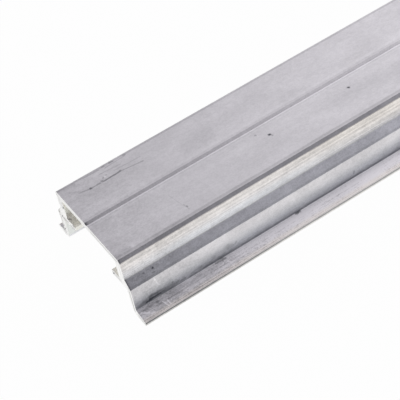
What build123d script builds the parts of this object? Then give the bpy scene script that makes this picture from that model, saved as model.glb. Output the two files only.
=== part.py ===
# Extruded aluminium mounting rail of top-hat section, 35 mm over the flanges and 15 mm high,
# with a nut channel behind two inner tongues. It is one piece of stock, sawn square to length.
#
# Frame: X along the rail, Y across it, Z up. The rail lies on its two flanges with its back up,
# and the origin is the middle of its length, on the floor plane.

from build123d import *
import os

# Driving dimensions, in millimetres
rail_length = 1000.0

# Outside of the section
rail_width = 35.0  # over the tips of the flanges
rail_height = 15.0  # from the flanges' underside to the back
upper_width = 25.5  # outside the walls, beside the back
lower_width = 28.7  # outside the walls, beside the flanges
step_depth = 5.25  # from the back down to where the walls slope outwards
step_drop = 1.8  # height of that slope
flange_root = 1.95  # flange thickness at the wall
flange_tip = 1.05  # flange thickness at its outer edge

# Inside of the section
back_thickness = 1.5
lower_wall = 1.55
channel_width = 20.8  # nut channel, wall to wall
channel_height = 5.1  # nut channel, from the back plate to the tongues
tongue_thickness = 1.4
slot_width = 14.7  # between the tips of the tongues

# Marking groove along the back
groove_width = 1.0
groove_depth = 0.3
groove_offset = 0.2  # of its bottom from the middle of the back

# Edges
back_chamfer = 0.55
tip_radius = 0.3  # edges of the flanges
tongue_radius = 0.35  # edges of the tongues
root_radius = 0.4  # corners inside the section
flange_radius = 0.12  # corner between each wall and the top of its flange
mouth_radius = 1.6  # inner edge of each flange, where the section opens
mouth_land = 0.1  # least flat between the two rounded edges of a flange's underside

# Levels and half widths that follow from these
step_top = rail_height - step_depth
step_bottom = step_top - step_drop
back_inside = rail_height - back_thickness
tongue_top = back_inside - channel_height
tongue_bottom = tongue_top - tongue_thickness
upper_half = upper_width / 2
lower_half = lower_width / 2
inner_half = lower_half - lower_wall
channel_half = channel_width / 2
slot_half = slot_width / 2
rail_half = rail_width / 2
flange_underside = rail_half - inner_half
mouth_limit = flange_underside - tip_radius - mouth_land


def corners(sketch, *places):
    """The sketch's corners at each place, on both sides of the middle."""
    near = 1e-4
    return [
        v
        for v in sketch.vertices()
        for across, up in places
        if abs(abs(v.X) - across) < near and abs(v.Y - up) < near
    ]


with BuildPart() as rail:
    with BuildSketch(Plane.YZ.offset(-rail_length / 2)) as section:
        with BuildLine():
            # One half of the outline, from the back round the outside and back along the inside
            Polyline(
                (0, rail_height),
                (upper_half, rail_height),
                (upper_half, step_top),
                (lower_half, step_bottom),
                (lower_half, flange_root),
                (rail_half, flange_tip),
                (rail_half, 0),
                (inner_half, 0),
                (inner_half, tongue_bottom),
                (slot_half, tongue_bottom),
                (slot_half, tongue_top),
                (channel_half, tongue_top),
                (channel_half, back_inside),
                (0, back_inside),
            )
            mirror(about=Plane.YZ)
        make_face()
        chamfer(corners(section, (upper_half, rail_height)), back_chamfer)
        fillet(corners(section, (rail_half, flange_tip), (rail_half, 0)), tip_radius)
        fillet(corners(section, (slot_half, tongue_top), (slot_half, tongue_bottom)), tongue_radius)
        fillet(
            corners(
                section,
                (inner_half, tongue_bottom),
                (channel_half, tongue_top),
                (channel_half, back_inside),
            ),
            root_radius,
        )
        fillet(corners(section, (lower_half, flange_root)), flange_radius)
        fillet(corners(section, (inner_half, 0)), min(mouth_radius, mouth_limit))
        with Locations((groove_offset, rail_height)):
            Polygon(
                (-groove_width / 2, 0),
                (0, -groove_depth),
                (groove_width / 2, 0),
                align=None,
                mode=Mode.SUBTRACT,
            )
    extrude(amount=rail_length)

rail.part.label = "rail"

os.makedirs("parts", exist_ok=True)
export_step(rail.part, "parts/rail.step")
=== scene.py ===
import bpy, bmesh
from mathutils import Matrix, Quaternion, Vector


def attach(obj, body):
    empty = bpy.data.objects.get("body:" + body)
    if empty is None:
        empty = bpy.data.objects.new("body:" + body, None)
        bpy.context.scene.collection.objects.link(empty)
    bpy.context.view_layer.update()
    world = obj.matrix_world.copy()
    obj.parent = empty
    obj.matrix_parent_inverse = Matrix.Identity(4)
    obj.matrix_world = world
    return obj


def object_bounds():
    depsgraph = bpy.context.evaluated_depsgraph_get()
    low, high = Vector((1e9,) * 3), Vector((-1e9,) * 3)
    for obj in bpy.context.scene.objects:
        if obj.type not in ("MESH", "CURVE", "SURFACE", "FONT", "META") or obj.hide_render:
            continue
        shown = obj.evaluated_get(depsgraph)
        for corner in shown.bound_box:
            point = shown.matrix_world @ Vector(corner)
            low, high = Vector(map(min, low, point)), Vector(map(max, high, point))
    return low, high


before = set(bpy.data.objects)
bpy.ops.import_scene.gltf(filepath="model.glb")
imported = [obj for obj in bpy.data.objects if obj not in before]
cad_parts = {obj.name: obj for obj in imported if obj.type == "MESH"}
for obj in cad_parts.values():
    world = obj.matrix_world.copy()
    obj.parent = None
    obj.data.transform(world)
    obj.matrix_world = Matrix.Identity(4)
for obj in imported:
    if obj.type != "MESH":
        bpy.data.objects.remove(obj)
cad_low, cad_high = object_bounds()

# The camera stands close to the sawn end, on the near side of the rail, and looks down along it.
# Its place, roll and lens were fitted to the photograph, in metres, radians and millimetres.
camera_place = Vector((-0.55779, -0.18354, 0.20767))
camera_aim = Vector((-0.47314, 0.00397, -0.00007))
camera_roll = -0.2238
camera_lens = 125.07
camera_sensor = 36.0
camera_nearest, camera_farthest = 0.01, 50.0

camera_data = bpy.data.cameras.new("camera")
camera_data.sensor_width = camera_sensor
camera_data.lens = camera_lens
camera_data.clip_start = camera_nearest
camera_data.clip_end = camera_farthest
camera = bpy.data.objects.new("camera", camera_data)
camera.location = camera_place
camera.rotation_mode = "QUATERNION"
level_view = (camera_aim - camera_place).to_track_quat("-Z", "Y")
camera.rotation_quaternion = level_view @ Quaternion((0, 0, 1), camera_roll)
bpy.context.scene.collection.objects.link(camera)
bpy.context.scene.camera = camera
bpy.context.scene.view_settings.view_transform = "Standard"

# The studio is a dim pale room. A tall soft window stands past each end of the rail, and a low
# pale wall with a gap in its middle stands on the camera's side. Each light fades in over a range
# of directions, given as their shares endways, across the rail and upwards.
room_light = (0.22, 0.22, 0.238, 1)
window_light = (1.0, 0.99, 1.01, 1)
window_endways = (-0.14, 0.66)
window_across = (-0.72, -0.28)
wall_light = (0.46, 0.46, 0.49, 1)
wall_endways = (0.18, 0.5)
wall_across = (0.0, -0.3)
wall_upwards = (0.66, 0.50)


def put(tree, kind, sockets, **settings):
    """A new node, with its settings, and its sockets given as plain values or as sockets to link."""
    made = tree.nodes.new(kind)
    for name, value in settings.items():
        setattr(made, name, value)
    for name, value in sockets.items():
        if isinstance(value, bpy.types.NodeSocket):
            tree.links.new(value, made.inputs[name])
        else:
            made.inputs[name].default_value = value
    return made


def blended(tree, share, first, second, kind="MIX"):
    """The colour between two colours, by a share from 0 to 1."""
    sockets = {0: share, 6: first, 7: second}
    return put(tree, "ShaderNodeMix", sockets, data_type="RGBA", blend_type=kind).outputs[2]


def worked_out(tree, operation, first, second=0.0, third=0.0):
    """The result of one sum on plain values or sockets."""
    return put(tree, "ShaderNodeMath", {0: first, 1: second, 2: third}, operation=operation).outputs[0]


def product(tree, first, *others):
    """Several values multiplied together."""
    for other in others:
        first = worked_out(tree, "MULTIPLY", first, other)
    return first


def ramp(tree, value, start, end, low=0.0, high=1.0):
    """A value turned smoothly from low to high as it goes from start to end."""
    sockets = {"Value": value, "From Min": start, "From Max": end, "To Min": low, "To Max": high}
    return put(tree, "ShaderNodeMapRange", sockets, interpolation_type="SMOOTHSTEP").outputs[0]


world = bpy.data.worlds.new("studio")
world.use_nodes = True
bpy.context.scene.world = world
tree = world.node_tree
tree.nodes.clear()
looking = put(tree, "ShaderNodeTexCoord", {}).outputs["Generated"]
looking = put(tree, "ShaderNodeSeparateXYZ", {"Vector": looking}).outputs
endways = worked_out(tree, "ABSOLUTE", looking["X"])
window = product(tree, ramp(tree, endways, *window_endways), ramp(tree, looking["Y"], *window_across))
low_wall = product(tree, ramp(tree, looking["Z"], *wall_upwards), ramp(tree, looking["Y"], *wall_across),
                   ramp(tree, endways, *wall_endways))
light = blended(tree, window, room_light, window_light)
light = blended(tree, low_wall, light, wall_light, kind="ADD")
background = put(tree, "ShaderNodeBackground", {"Color": light, "Strength": 1.0})
put(tree, "ShaderNodeOutputWorld", {"Surface": background.outputs[0]})

# The floor is white card. What the camera and the metal see of it is lifted to white, and it keeps
# a faint shadow of the rail.
floor_size = 16.0
floor_colour = (0.9, 0.9, 0.9, 1)
floor_lift = 0.97


def bare_material(name):
    """A new material and its empty node tree."""
    made = bpy.data.materials.new(name)
    made.use_nodes = True
    made.node_tree.nodes.clear()
    return made, made.node_tree


def largest(tree, first, *others):
    """The largest of several values."""
    for other in others:
        first = worked_out(tree, "MAXIMUM", first, other)
    return first


bpy.ops.object.select_all(action="DESELECT")
bpy.ops.mesh.primitive_plane_add(size=floor_size, location=(0, 0, 0))
floor = bpy.context.object
floor.name = "floor"
card, tree = bare_material("white_card")
ray = put(tree, "ShaderNodeLightPath", {}).outputs
seen = largest(tree, ray["Is Camera Ray"], ray["Is Glossy Ray"], ray["Is Transmission Ray"])
seen = product(tree, seen, floor_lift)
matt = put(tree, "ShaderNodeBsdfDiffuse", {"Color": floor_colour})
white = put(tree, "ShaderNodeEmission", {"Color": (1, 1, 1, 1), "Strength": 1.0})
both = put(tree, "ShaderNodeMixShader", {0: seen, 1: matt.outputs[0], 2: white.outputs[0]})
put(tree, "ShaderNodeOutputMaterial", {"Surface": both.outputs[0]})
floor.data.materials.append(card)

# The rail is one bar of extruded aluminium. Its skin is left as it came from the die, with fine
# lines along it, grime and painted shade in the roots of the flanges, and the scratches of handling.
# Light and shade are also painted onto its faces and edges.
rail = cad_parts["rail"]

# Its places are in millimetres: along it, out from its middle, and up from the floor
sawn_end = cad_low[0] * 1000
edge_out = cad_high[1] * 1000
foot_out = 14.35  # the lower walls, beside the flanges
wall_out = 12.75  # the upper walls, beside the back
chamfer_out = 12.2
back_up = cad_high[2] * 1000
chamfer_up = 14.45
slope_top_up = 9.75
slope_foot_up = 7.95

# The share of the light that its bare metal sends back, and the colours of metal, of painted light
# inside the channel, of painted reflection tints, and of dirt and painted shade
bare_level = 0.785
black = (0, 0, 0, 1)
bare_metal = (0.987, 0.963, 1.0, 1)
lit_inside_metal = (0.90, 0.885, 0.85, 1)
side_tint = (1.0, 1.004, 0.988, 1)
warm_tint = (1.03, 1.0, 0.93, 1)
cold_tint = (0.945, 0.982, 1.0, 1)
soot_and_shade = (0.065, 0.07, 0.085, 1)

# How dark the grime and the painted shade get from 0 to 1, the height of the grime's waves in
# millimetres, and the depth of the skin's relief in metres
root_grime_and_shade = 0.46
corner_shade_strength = 0.22
settled_grime = 0.30
slope_shade_strength = 0.20
cut_shade_strength = 0.65
grime_waves = 3.4
mill_relief = 0.000002


def node_group(name, inputs, output):
    """A shader node group with these inputs and one output, all as sockets by name."""
    made = bpy.data.node_groups.new(name, "ShaderNodeTree")
    for title, value in inputs.items():
        kind = "NodeSocketVector" if isinstance(value, tuple) else "NodeSocketFloat"
        made.interface.new_socket(title, in_out="INPUT", socket_type=kind).default_value = value
    made.interface.new_socket(output, in_out="OUTPUT", socket_type="NodeSocketFloat")
    entry = made.nodes.new("NodeGroupInput").outputs
    way_out = made.nodes.new("NodeGroupOutput").inputs[output]
    return made, entry, way_out


def vector_sum(tree, operation, first, second=(0, 0, 0), result="Vector"):
    """The result of one vector sum."""
    return put(tree, "ShaderNodeVectorMath", {0: first, 1: second}, operation=operation).outputs[result]


def scaled_by(tree, vector, scale):
    """A vector made longer or shorter by a scale."""
    return put(tree, "ShaderNodeVectorMath", {0: vector, "Scale": scale}, operation="SCALE").outputs[0]


def held(tree, value):
    """A value held between 0 and 1."""
    return put(tree, "ShaderNodeClamp", {"Value": value}).outputs[0]


# A pattern of streaks that run along the first axis of Place, or of patches where Length is short
nowhere = (0.0, 0.0, 0.0)
streaks, entry, way_out = node_group(
    "streaks", {"Place": nowhere, "Width": 1.0, "Length": 1.0, "Detail": 2.0}, "Shade")
sockets = {"X": entry["Length"], "Y": entry["Width"], "Z": entry["Width"]}
size = put(streaks, "ShaderNodeCombineXYZ", sockets).outputs[0]
scaled = vector_sum(streaks, "DIVIDE", entry["Place"], size)
noise = put(streaks, "ShaderNodeTexNoise", {"Vector": scaled, "Scale": 1.0, "Detail": entry["Detail"]})
streaks.links.new(noise.outputs[0], way_out)

# A scratch or a spot: everything within Width of the line between two points, with a ragged edge
ragged_waves = 2.5  # for each millimetre along the edge
edge_fade = (1.15, 0.15)  # from nothing to full, in half widths from the line
scratch, entry, way_out = node_group(
    "scratch", {"Place": nowhere, "From": nowhere, "To": nowhere, "Width": 0.2}, "Mask")
line = vector_sum(scratch, "SUBTRACT", entry["To"], entry["From"])
offset = vector_sum(scratch, "SUBTRACT", entry["Place"], entry["From"])
reach = worked_out(scratch, "DIVIDE", vector_sum(scratch, "DOT_PRODUCT", offset, line, "Value"),
                   vector_sum(scratch, "DOT_PRODUCT", line, line, "Value"))
nearest = scaled_by(scratch, line, held(scratch, reach))
away = vector_sum(scratch, "DISTANCE", offset, nearest, "Value")
noise = put(scratch, "ShaderNodeTexNoise", {"Vector": entry["Place"], "Scale": ragged_waves, "Detail": 3.0})
ragged = worked_out(scratch, "SUBTRACT", noise.outputs[0], 0.5)
away = worked_out(scratch, "ADD", worked_out(scratch, "DIVIDE", away, entry["Width"]), ragged)
scratch.links.new(ramp(scratch, away, *edge_fade), way_out)


def streaked(tree, place, width, length, detail, start=0.3, end=0.7, low=0.0, high=1.0):
    """The streaks group at one size, its middle range turned from low to high."""
    sockets = {"Place": place, "Width": width, "Length": length, "Detail": detail}
    shade = put(tree, "ShaderNodeGroup", sockets, node_tree=streaks).outputs[0]
    return ramp(tree, shade, start, end, low, high)


def marked(tree, place, mark):
    """One mark of a list, as a mask from 0 to its strength."""
    first, last, half_width, strength = mark
    near_end = Vector((sawn_end, 0, 0))
    first, last = near_end + Vector(first), near_end + Vector(last)
    sockets = {"Place": place, "From": first, "To": last, "Width": half_width}
    mask = put(tree, "ShaderNodeGroup", sockets, node_tree=scratch).outputs[0]
    return product(tree, mask, strength)


def stripe(tree, across, centre, half_width):
    """A narrow stripe along the whole rail, at one place across it."""
    full = 0.3 * half_width
    away = worked_out(tree, "ABSOLUTE", worked_out(tree, "SUBTRACT", across, centre))
    return ramp(tree, away, half_width, full)


def raised(tree, value, *parts):
    """A value with the strength of each part added to it, as far as that part's mask goes."""
    for mask, strength in parts:
        value = worked_out(tree, "MULTIPLY_ADD", mask, strength, value)
    return value


def metal_surface(tree, colour, roughness, height, depth):
    """Bare metal as the tree's surface, with a relief that is so many metres deep."""
    bump = put(tree, "ShaderNodeBump", {"Height": height, "Strength": 1.0, "Distance": depth}).outputs[0]
    sockets = {"Base Color": colour, "Metallic": 1.0, "Roughness": roughness, "Normal": bump}
    metal = put(tree, "ShaderNodeBsdfPrincipled", sockets)
    put(tree, "ShaderNodeOutputMaterial", {"Surface": metal.outputs[0]})


# Scratches, specks and smudges, and a dark blotch across the root near the sawn end that is partly
# grime and partly painted shade. Each has its two ends, by their places along from the sawn end,
# across and up, then its half width and its strength. The renderer takes about eighty marks in
# this material, dark and bright together, and past that it draws the metal black.
dark_marks = [
    ((1.9, 9.9, 15.0), (3.8, 8.7, 15.0), 0.34, 0.14),
    ((3.4, 8.5, 15.0), (5.8, 8.0, 15.0), 0.28, 0.34),
    ((5.8, 8.0, 15.0), (8.1, 8.05, 15.0), 0.26, 0.44),
    ((8.7, 8.0, 15.0), (12.9, 8.15, 15.0), 0.27, 0.60),
    ((12.9, 8.15, 15.0), (18.0, 7.5, 15.0), 0.24, 0.30),
    ((9.0, 10.3, 15.0), (14.0, 9.9, 15.0), 0.20, 0.20),
    ((11.0, 11.1, 15.0), (16.0, 11.4, 15.0), 0.18, 0.24),
    ((12.0, 9.2, 15.0), (18.2, 9.0, 15.0), 0.18, 0.20),
    ((6.2, 11.6, 15.0), (9.8, 11.5, 15.0), 0.20, 0.26),
    ((5.8, 8.0, 15.0), (5.9, 8.0, 15.0), 0.38, 0.70),
    ((9.2, 8.8, 15.0), (9.4, 9.0, 15.0), 0.22, 0.40),
    ((10.1, 9.3, 15.0), (10.3, 9.2, 15.0), 0.20, 0.35),
    ((8.6, 8.3, 15.0), (8.8, 8.3, 15.0), 0.34, 0.50),
    ((12.9, 8.2, 15.0), (13.1, 8.2, 15.0), 0.34, 0.55),
    ((0.2, 11.9, 15.0), (3.6, 11.3, 15.0), 0.70, 0.14),
    ((-0.3, -11.0, 15.0), (3.0, -11.1, 15.0), 1.10, 0.22),
    ((10.7, 11.8, 15.0), (11.0, 11.8, 15.0), 0.35, 0.30),
    ((12.5, 11.8, 15.0), (13.2, 11.7, 15.0), 0.30, 0.40),
    ((15.8, 11.7, 15.0), (16.2, 11.7, 15.0), 0.30, 0.30),
    ((41.5, -3.9, 15.0), (41.6, -3.95, 15.0), 0.40, 0.95),
    ((41.6, -4.1, 15.0), (41.9, -4.5, 15.0), 0.24, 0.35),
    ((61.8, -3.7, 15.0), (61.9, -3.75, 15.0), 0.38, 0.90),
    ((39.2, -2.2, 15.0), (39.3, -2.2, 15.0), 0.30, 0.35),
    ((16.7, -4.3, 15.0), (17.4, -8.6, 15.0), 0.14, 0.12),
    ((17.6, -8.4, 15.0), (17.8, -10.2, 15.0), 0.15, 0.20),
    ((17.85, -9.2, 15.0), (17.85, -9.4, 15.0), 0.24, 0.50),
    ((28.0, 5.2, 15.0), (31.5, 5.7, 15.0), 3.60, 0.07),
    ((58.0, -6.0, 15.0), (88.0, -6.5, 15.0), 3.40, 0.08),
    ((6.0, -13.3, 9.15), (6.1, -13.3, 9.15), 0.31, 0.95),
    ((4.8, -13.3, 9.1), (7.0, -13.3, 9.1), 0.60, 0.18),
    ((3.9, -13.3, 9.2), (4.0, -13.3, 9.2), 0.28, 0.55),
    ((5.5, -13.8, 8.6), (6.0, -13.8, 8.5), 0.22, 0.40),
    # From here, the marks low on the lower wall and on the flange by its root make the dark blotch across
    # the root: partly grime, partly painted shade
    ((2.6, -14.35, 2.45), (3.3, -14.35, 2.5), 0.48, 0.88),
    ((3.3, -14.35, 2.55), (4.1, -14.35, 2.7), 0.70, 0.95),
    ((4.3, -14.35, 3.4), (5.2, -14.35, 3.3), 0.55, 0.72),
    ((4.5, -14.35, 2.7), (5.8, -14.35, 2.7), 0.62, 0.88),
    ((3.5, -14.35, 3.3), (4.1, -14.35, 3.4), 0.70, 0.74),
    ((5.3, -14.35, 3.5), (5.9, -14.35, 3.4), 0.50, 0.55),
    ((6.3, -14.35, 2.9), (6.9, -14.35, 2.6), 0.55, 0.66),
    ((2.3, -14.35, 2.8), (9.0, -14.35, 2.8), 1.20, 0.50),
    ((0.2, -14.35, 2.4), (1.6, -14.35, 2.7), 0.60, 0.38),
    ((8.8, -14.35, 3.3), (8.9, -14.35, 3.6), 0.34, 0.55),
    ((10.6, -14.35, 2.6), (11.6, -14.35, 2.6), 0.55, 0.50),
    ((9.7, -14.35, 2.8), (10.2, -14.35, 3.0), 0.50, 0.52),
    ((-0.2, -14.35, 7.3), (1.0, -14.35, 7.1), 0.80, 0.14),
    ((15.4, -14.35, 3.0), (15.7, -14.35, 3.2), 0.45, 0.45),
    ((19.6, -14.35, 2.5), (20.8, -14.35, 2.5), 0.60, 0.55),
    ((22.2, -14.35, 3.4), (22.4, -14.35, 4.6), 0.36, 0.30),
    ((24.0, -14.35, 3.8), (24.3, -14.35, 4.1), 0.36, 0.28),
    ((0.2, 10.0, 8.4), (0.4, 9.8, 8.4), 0.40, 0.45),
    ((0.6, 9.6, 8.4), (4.0, 8.6, 8.4), 1.40, 0.12),
    ((14.6, -14.35, 2.8), (15.2, -14.35, 2.8), 0.80, 0.25),
    ((22.2, -14.35, 4.2), (23.2, -14.35, 3.6), 0.95, 0.24),
    ((1.0, -15.2, 1.7), (3.6, -14.8, 1.8), 0.50, 0.35),
    ((4.3, -15.0, 1.8), (4.8, -15.05, 1.75), 0.40, 0.55),
    ((7.0, -14.7, 1.85), (10.5, -14.7, 1.85), 0.45, 0.30),
    ((18.8, -14.6, 1.9), (21.0, -14.7, 1.85), 0.40, 0.55),
    ((20.2, -15.5, 1.6), (20.8, -15.3, 1.7), 0.22, 0.30),
    ((20.2, -14.35, 2.1), (20.5, -14.35, 2.2), 0.45, 0.70),
    ((38.9, -14.4, 1.95), (39.6, -14.4, 2.1), 0.50, 0.80),
    ((53.8, -14.35, 3.2), (53.9, -14.35, 3.7), 0.36, 0.40),
    ((2.0, -12.75, 13.6), (9.0, -12.75, 13.6), 0.55, 0.13),
]
# Rubbed places, and a patch of painted light on the channel's inner wall by the cut, given in the
# same way
bright_marks = [
    ((5.4, -15.6, 1.6), (5.9, -17.0, 1.2), 0.19, 0.24),
    ((6.3, -15.8, 1.54), (6.5, -17.0, 1.2), 0.18, 0.22),
    ((2.1, -16.6, 1.3), (2.9, -16.6, 1.3), 0.20, 0.25),
    ((0.5, -15.3, 1.7), (1.2, -15.5, 1.6), 0.24, 0.22),
    # Painted light on the channel's inner wall, near the open end
    ((0.0, 10.4, 12.7), (0.8, 10.4, 10.6), 1.20, 0.12),
    ((3.7, -14.35, 6.3), (4.1, -14.35, 5.9), 0.22, 0.14),
    ((5.4, -14.35, 7.3), (6.0, -14.35, 5.1), 0.22, 0.14),
    ((0.9, -15.6, 1.6), (1.9, -16.1, 1.45), 0.22, 0.28),
    ((5.8, -17.0, 1.2), (5.9, -17.05, 1.2), 0.22, 0.35),
    ((20.6, -15.1, 1.7), (21.4, -15.9, 1.5), 0.20, 0.20),
    ((9.7, 9.0, 15.0), (9.8, 9.0, 15.0), 0.26, 0.20),
]

mill, tree = bare_material("mill_aluminium")
coordinates = put(tree, "ShaderNodeTexCoord", {}).outputs
place = scaled_by(tree, coordinates["Object"], 1000.0)
axes = put(tree, "ShaderNodeSeparateXYZ", {"Vector": place}).outputs
along = worked_out(tree, "SUBTRACT", axes["X"], sawn_end)
across, up = axes["Y"], axes["Z"]
out = worked_out(tree, "ABSOLUTE", across)
facing = put(tree, "ShaderNodeSeparateXYZ", {"Vector": coordinates["Normal"]}).outputs

# Where the faces of the section are
on_side = ramp(tree, worked_out(tree, "ABSOLUTE", facing["Y"]), 0.9, 0.98)
on_wall = product(tree, on_side, ramp(tree, up, slope_top_up - 0.05, slope_top_up + 0.05))
on_foot = product(tree, on_side, ramp(tree, up, slope_foot_up + 0.25, slope_foot_up + 0.15))
above_slope_foot = ramp(tree, up, slope_foot_up - 0.15, slope_foot_up - 0.05)
below_slope_top = ramp(tree, up, slope_top_up + 0.1, slope_top_up)
past_wall = ramp(tree, out, wall_out - 0.05, wall_out - 0.01)
on_slope = product(tree, above_slope_foot, below_slope_top, past_wall)
on_back = ramp(tree, up, back_up - 0.5, back_up - 0.38)
on_flange = product(tree, ramp(tree, out, foot_out + 0.03, foot_out + 0.09), ramp(tree, up, 0.90, 0.98))
on_chamfer = product(tree, ramp(tree, out, chamfer_out - 0.06, chamfer_out),
                     ramp(tree, up, chamfer_up - 0.25, chamfer_up - 0.15))
on_tip = product(tree, ramp(tree, out, edge_out - 0.08, edge_out - 0.04), ramp(tree, up, 0.80, 0.70))
inside = product(tree, ramp(tree, out, wall_out + 0.1, wall_out + 0.03), ramp(tree, up, 13.8, 13.6),
                 ramp(tree, product(tree, out, on_wall), 12.7, 12.6))

# The share of the light that the metal sends back: the same all over, then raised or lowered on
# each face as painted light and shade, the chamfers most of all, and lower on the walls and slopes
# near the sawn end
level = raised(tree, bare_level, (on_wall, -0.015), (on_foot, -0.04), (on_slope, -0.04),
               (on_flange, 0.055), (on_chamfer, -0.28), (on_tip, 0.02))
near_cut = ramp(tree, along, 16.0, 4.0)
for mask, strength in ((on_wall, -0.04), (on_foot, -0.07), (on_slope, -0.12)):
    level = raised(tree, level, (product(tree, near_cut, mask), strength))

# The flanges and their edges get painted light, more of it further along and on the flanges by
# their roots, and further along the walls get painted shade low down
painted_flange_light = ramp(tree, along, 5.0, 42.0, -0.03, 0.16)
painted_flange_light = worked_out(tree, "ADD", painted_flange_light, ramp(tree, out, 15.6, 14.5, 0.0, 0.10))
level = raised(tree, level, (on_flange, painted_flange_light), (on_tip, ramp(tree, along, 15.0, 50.0, -0.10, 0.13)))
low_shade = product(tree, on_foot, ramp(tree, up, 6.5, 3.5, 0.0, 0.10))
low_shade = raised(tree, low_shade, (product(tree, on_wall, ramp(tree, up, 11.9, 11.3)), 0.05))
level = worked_out(tree, "SUBTRACT", level, product(tree, low_shade, ramp(tree, along, 25.0, 55.0)))

# Its texture, in patches and grain, stronger near the end and on the faces the die left rough
texture = streaked(tree, place, 5.0, 8.0, 3.0, low=-0.03, high=0.03)
grains = ((1.0, 1.3, 3.0, 0.024), (0.28, 0.36, 2.0, 0.030), (0.2, 60.0, 2.0, 0.008))
for width, length, detail, strength in grains:
    grain = streaked(tree, place, width, length, detail, low=-strength, high=strength)
    texture = worked_out(tree, "ADD", texture, grain)
rough = ramp(tree, along, 22.0, 4.0, 1.0, 1.7)
rough = raised(tree, rough, (on_wall, 0.7), (on_foot, 0.3), (on_slope, 0.9), (on_flange, 1.6))
level = raised(tree, level, (texture, rough))

# The finest grain, and fine ribs along the upper walls and the flanges
fine = streaked(tree, place, 0.2, 0.35, 1.0, low=-1.0, high=1.0)
for mask, strength in ((on_wall, 0.03), (on_foot, 0.03), (on_slope, 0.02), (on_flange, 0.09)):
    level = raised(tree, level, (product(tree, fine, mask), strength))
ribbed = largest(tree, on_wall, on_flange)
for width, length, strength in ((0.3, 60.0, 0.045), (0.16, 9.0, 0.06)):
    ribs = streaked(tree, place, width, length, 1.0, low=-strength, high=strength)
    level = raised(tree, level, (ribs, ribbed))

# Lines from the die, each with its place, half width and strength: along the back by the distance
# from its middle, along the walls by the height, and along the flanges by the distance again. Some
# are painted light and shade instead: on the back, a highlight beside the groove and shade along
# both edges; on the flanges, shade and then a highlight at the outer edge.
back_lines = [
    (1.7, 0.5, 0.035), (1.05, 0.3, -0.035), (-0.40, 0.24, 0.15), (-0.85, 0.24, -0.03), (-1.2, 0.3, 0.025),
    (-3.2, 1.5, 0.02), (-11.75, 0.65, -0.17), (-11.93, 0.12, 0.05), (11.85, 0.36, -0.14),
]
wall_lines = [
    (13.45, 0.45, -0.07), (12.91, 0.35, 0.05), (12.38, 0.3, -0.03), (11.75, 0.55, 0.06),
    (10.87, 0.3, 0.04), (10.15, 0.45, -0.04),
]
flange_lines = [
    (15.0, 0.25, -0.05), (15.45, 0.2, 0.04), (15.72, 0.18, -0.07), (16.0, 0.18, 0.04), (16.6, 0.15, -0.05),
    (16.84, 0.14, 0.05), (17.07, 0.14, -0.11), (17.36, 0.20, 0.22),
]
die_and_edge_lines = ((back_lines, across, on_back), (wall_lines, up, on_wall), (flange_lines, out, on_flange))
for lines, measure, mask in die_and_edge_lines:
    for centre, half_width, strength in lines:
        line = product(tree, stripe(tree, measure, centre, half_width), mask)
        level = raised(tree, level, (line, strength))

# Where something rubbed the skin, and at the patch of painted light inside the channel, it is
# brighter, and the grime and painted shade are off
rubbed_and_lit = 0.0
for mark in bright_marks:
    mask = marked(tree, place, mark)
    level = worked_out(tree, "ADD", level, mask)
    rubbed_and_lit = largest(tree, rubbed_and_lit, mask)

skin = blended(tree, level, black, bare_metal)
# Painted light inside the channel: the metal there is lighter and warmer
skin = blended(tree, inside, skin, lit_inside_metal)
# Painted reflection tint on the sides
skin = blended(tree, on_side, skin, side_tint, kind="MULTIPLY")

# Painted reflection tints: the upper walls are a little warm towards their top and cold below, and
# the flanges are warm towards their edges. The slopes are cold, and so are the lower walls low down.
warm = product(tree, ramp(tree, along, 35.0, 65.0, 0.0, 0.5), ramp(tree, up, 9.9, 10.8))
warm = worked_out(tree, "ADD", warm, ramp(tree, up, 9.9, 14.0, 0.0, 0.7))
warm = product(tree, on_wall, held(tree, warm))
warm = largest(tree, warm, ramp(tree, out, 16.3, 17.2))
skin = blended(tree, warm, skin, warm_tint, kind="MULTIPLY")
cold = product(tree, on_wall, ramp(tree, up, 12.6, 10.6), ramp(tree, along, 60.0, 30.0, 0.2, 0.85),
               ramp(tree, along, 2.0, 14.0, 0.5, 1.0))
cold = largest(tree, cold, product(tree, on_slope, 0.5), product(tree, on_foot, ramp(tree, up, 7.0, 3.0)))
skin = blended(tree, cold, skin, cold_tint, kind="MULTIPLY")

# Grime and painted shade in the root of each flange, with a wavy upper edge and a line of painted
# shade along the corner
sockets = {"Place": place, "Width": 0.7, "Length": 1.5, "Detail": 4.0}
waves = put(tree, "ShaderNodeGroup", sockets, node_tree=streaks).outputs[0]
waves = product(tree, worked_out(tree, "SUBTRACT", waves, 0.5), grime_waves)
wavy_up = raised(tree, up, (waves, ramp(tree, along, 32.0, 18.0, 0.45, 1.0)))
root = product(tree, ramp(tree, wavy_up, 3.8, 2.1), on_foot, ramp(tree, out, 14.0, 14.3),
               ramp(tree, out, 14.6, 14.5), ramp(tree, along, 0.0, 12.0, 0.65, 1.0))
corner_shade = product(tree, stripe(tree, up, 2.3, 0.4), root)
grime_and_shade = raised(tree, product(tree, root, root_grime_and_shade), (corner_shade, corner_shade_strength))

# Grime settled on the flanges near the sawn end
settled = streaked(tree, place, 0.5, 1.4, 4.0, start=0.35, end=0.65, low=0.5, high=1.2)
settled = product(tree, settled, on_flange, ramp(tree, out, 16.8, 15.2, 0.35, 1.0),
                  ramp(tree, out, 14.4, 15.0, 0.4, 1.0), ramp(tree, along, 24.0, 14.0), settled_grime)
grime_and_shade = largest(tree, grime_and_shade, settled)

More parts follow.
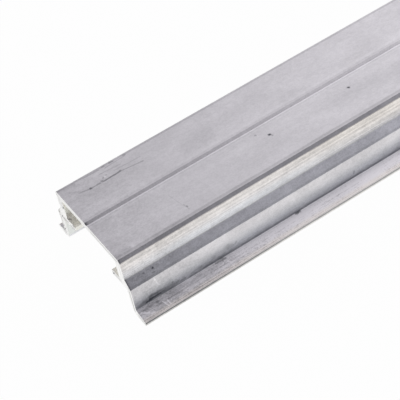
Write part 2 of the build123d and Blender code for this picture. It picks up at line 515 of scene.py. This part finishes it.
# Painted shade: a dark line along each flange's edge, one along both edges of each slope, and one
# at the cut
flange_edge_shade = product(tree, stripe(tree, up, 0.74, 0.27), ramp(tree, out, edge_out - 0.15, edge_out - 0.05),
                    ramp(tree, along, 4.0, 55.0, 0.80, 0.54))
grime_and_shade = largest(tree, grime_and_shade, flange_edge_shade)
slope_shade_lines = largest(tree, stripe(tree, up, slope_foot_up + 0.17, 0.30),
                      stripe(tree, up, slope_top_up + 0.03, 0.14))
slope_shade_lines = product(tree, slope_shade_lines, past_wall, ramp(tree, along, 14.0, 4.0, 1.0, 1.5), slope_shade_strength)
grime_and_shade = largest(tree, grime_and_shade, slope_shade_lines)
cut_shade = product(tree, largest(tree, on_slope, on_chamfer), ramp(tree, along, 0.5, 0.15), cut_shade_strength)
grime_and_shade = largest(tree, grime_and_shade, cut_shade)

# Painted shade on the far side of the groove in the back, darkest at the cut
groove_shade = product(tree, stripe(tree, across, 0.42, 0.42), on_back)
groove_shade_depth = ramp(tree, along, -40.0, 80.0, 0.52, 0.12)
groove_shade_depth = worked_out(tree, "ADD", groove_shade_depth, ramp(tree, along, 0.9, 0.1, 0.0, 0.42))
grime_and_shade = largest(tree, grime_and_shade, product(tree, groove_shade, groove_shade_depth))

# The rubbed places and the painted light are free of grime and painted shade, and the dark marks
# lie over all
left_on = held(tree, raised(tree, 1.0, (rubbed_and_lit, -4.0)))
grime_and_shade = product(tree, grime_and_shade, left_on)
for mark in dark_marks:
    grime_and_shade = largest(tree, grime_and_shade, marked(tree, place, mark))

colour = blended(tree, grime_and_shade, skin, soot_and_shade)
roughness = streaked(tree, place, 3.0, 6.0, 2.0, low=0.33, high=0.39)
roughness = raised(tree, roughness, (grime_and_shade, 0.3), (inside, 0.15))
relief = streaked(tree, place, 0.25, 90.0, 3.0, low=0.0, high=0.5)
relief = worked_out(tree, "ADD", relief, streaked(tree, place, 0.4, 0.5, 2.0, low=0.0, high=1.0))
relief = raised(tree, relief, (grime_and_shade, -3.0))
metal_surface(tree, colour, roughness, relief, mill_relief)

# The two ends are bare bright metal, sawn square and not cleaned up. Fine lines from the teeth run
# across them, and the near end has small pits, a painted shadow line along the back's cut, and
# patches of painted shade.
sawn_bright = (1.0, 0.995, 0.985, 1)
sawn_dull = (0.93, 0.925, 0.905, 1)
pit_and_shade_colour = (0.07, 0.07, 0.08, 1)
sawn_roughness = 0.28
sawn_relief = 0.00001
end_facing = 0.9  # a face belongs to an end if its normal points endways by more than this

# Pits, a painted shadow line along the back's cut, and broad patches of painted shade, given in the
# same way as the marks
pits_and_shadow = [
    ((0.0, 10.5, 11.7), (0.0, 11.1, 11.0), 0.36, 0.85),
    ((0.0, 10.4, 13.0), (0.0, 10.8, 12.6), 0.30, 0.50),
    ((0.0, 12.9, 7.3), (0.0, 13.4, 6.7), 0.34, 0.75),
    ((0.0, 13.5, 8.8), (0.0, 13.5, 9.0), 0.30, 0.40),
    ((0.0, 14.8, 3.6), (0.0, 14.3, 3.2), 0.30, 0.45),
    ((0.0, 14.6, 2.2), (0.0, 14.2, 1.6), 0.34, 0.80),
    ((0.0, 16.6, 1.2), (0.0, 15.2, 1.6), 0.34, 0.45),
    ((0.0, -7.65, 7.2), (0.0, -8.2, 7.8), 0.30, 0.95),
    ((0.0, -13.6, 6.9), (0.0, -13.6, 0.9), 0.28, 0.60),
    # A painted shadow line along the back's cut
    ((0.0, -1.6, 14.2), (0.0, -11.6, 14.15), 0.24, 0.55),
    ((0.0, -12.1, 13.7), (0.0, -11.7, 10.2), 0.18, 0.18),
]
# Broad patches of painted shade
shaded_patches = [
    ((0.0, 11.5, 14.3), (0.0, -11.5, 14.3), 1.40, 0.11),
    ((0.0, 11.9, 14.2), (0.0, 11.5, 11.4), 1.30, 0.22),
    ((0.0, 13.6, 7.8), (0.0, 13.6, 1.2), 1.40, 0.10),
    ((0.0, 14.5, 0.9), (0.0, 15.4, 0.9), 0.90, 0.30),
    ((0.0, -10.2, 7.7), (0.0, -7.6, 7.7), 1.20, 0.26),
    ((0.0, -15.4, 0.7), (0.0, -17.3, 0.7), 1.20, 0.26),
    ((0.0, -13.6, 8.0), (0.0, -13.8, 7.7), 0.60, 0.30),
]

sawn, tree = bare_material("sawn_aluminium")
place = scaled_by(tree, put(tree, "ShaderNodeTexCoord", {}).outputs["Object"], 1000.0)
axes = put(tree, "ShaderNodeSeparateXYZ", {"Vector": place}).outputs
across_cut = put(tree, "ShaderNodeCombineXYZ", {"X": axes["Y"], "Y": axes["Z"], "Z": axes["X"]}).outputs[0]
teeth = streaked(tree, across_cut, 0.12, 9.0, 2.0, low=0.0, high=1.0)
blotch = streaked(tree, across_cut, 0.7, 1.2, 3.0, low=0.0, high=1.0)
shade = raised(tree, product(tree, blotch, 0.5), (teeth, 0.5))
colour = blended(tree, shade, sawn_dull, sawn_bright)
pitted_and_shaded = 0.0
for mark in pits_and_shadow + shaded_patches:
    pitted_and_shaded = largest(tree, pitted_and_shaded, marked(tree, place, mark))
colour = blended(tree, pitted_and_shaded, colour, pit_and_shade_colour)
metal_surface(tree, colour, sawn_roughness, teeth, sawn_relief)

rail.data.materials.clear()
rail.data.materials.append(mill)
rail.data.materials.append(sawn)
for face in rail.data.polygons:
    face.material_index = 1 if abs(face.normal.x) > end_facing else 0

# The saw pushed a thin ragged burr of the same metal out of each cut, along the leg that it
# reached last. The back's own edge was sawn first and is clean. All sizes are in metres.
burr_top = 0.0128
burr_foot = 0.0004
burr_side = 0.005  # out from the rail's middle
burr_step = 0.0003
burr_reach = 0.00012
burr_scatter = 0.00011
burr_seed = 7
burr_wall = 0.00008
same_place = 0.000001
same_way = 0.01  # the most radians between triangles of one flat face

for name, outwards in (("saw_burr_near", -1), ("saw_burr_far", 1)):
    bpy.ops.object.select_all(action="DESELECT")
    burr = bpy.data.objects.new(name, rail.data.copy())
    bpy.context.scene.collection.objects.link(burr)
    bpy.context.view_layer.objects.active = burr
    burr.select_set(True)
    bpy.ops.object.mode_set(mode="EDIT")
    bpy.ops.mesh.select_all(action="SELECT")
    bpy.ops.mesh.remove_doubles(threshold=same_place)

    # Of the whole bar, only the outline of one leg at this end is kept
    bpy.ops.mesh.select_all(action="DESELECT")
    bpy.ops.mesh.select_mode(type="FACE")
    for face in bmesh.from_edit_mesh(burr.data).faces:
        face.select_set(face.normal.x * outwards < end_facing)
    bpy.ops.mesh.delete(type="FACE")
    bpy.ops.mesh.select_all(action="SELECT")
    bpy.ops.mesh.dissolve_limited(angle_limit=same_way)
    bpy.ops.mesh.delete(type="ONLY_FACE")
    bpy.ops.mesh.select_mode(type="EDGE")
    for edge in bmesh.from_edit_mesh(burr.data).edges:
        heights = [corner.co.z for corner in edge.verts]
        sides = [corner.co.y for corner in edge.verts]
        edge.select_set(max(heights) > burr_top or min(heights) < burr_foot or min(sides) < burr_side)
    bpy.ops.mesh.delete(type="EDGE")

    # It is cut into short steps, drawn out of the end by uneven amounts, and given a wall
    while True:
        edges = bmesh.from_edit_mesh(burr.data).edges
        for edge in edges:
            edge.select_set(edge.calc_length() > burr_step)
        if not any(edge.select for edge in edges):
            break
        bpy.ops.mesh.subdivide(number_cuts=1)
    bpy.ops.mesh.select_all(action="SELECT")
    bpy.ops.mesh.extrude_edges_move(TRANSFORM_OT_translate={"value": (burr_reach * outwards, 0, 0)})
    bpy.ops.transform.vertex_random(offset=burr_scatter, seed=burr_seed)
    bpy.ops.object.mode_set(mode="OBJECT")
    wall = burr.modifiers.new("wall", "SOLIDIFY")
    wall.thickness = burr_wall
    wall.offset = 0.0
    bpy.ops.object.modifier_apply(modifier="wall")

    burr.data.materials.clear()
    burr.data.materials.append(sawn)
    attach(burr, "root")
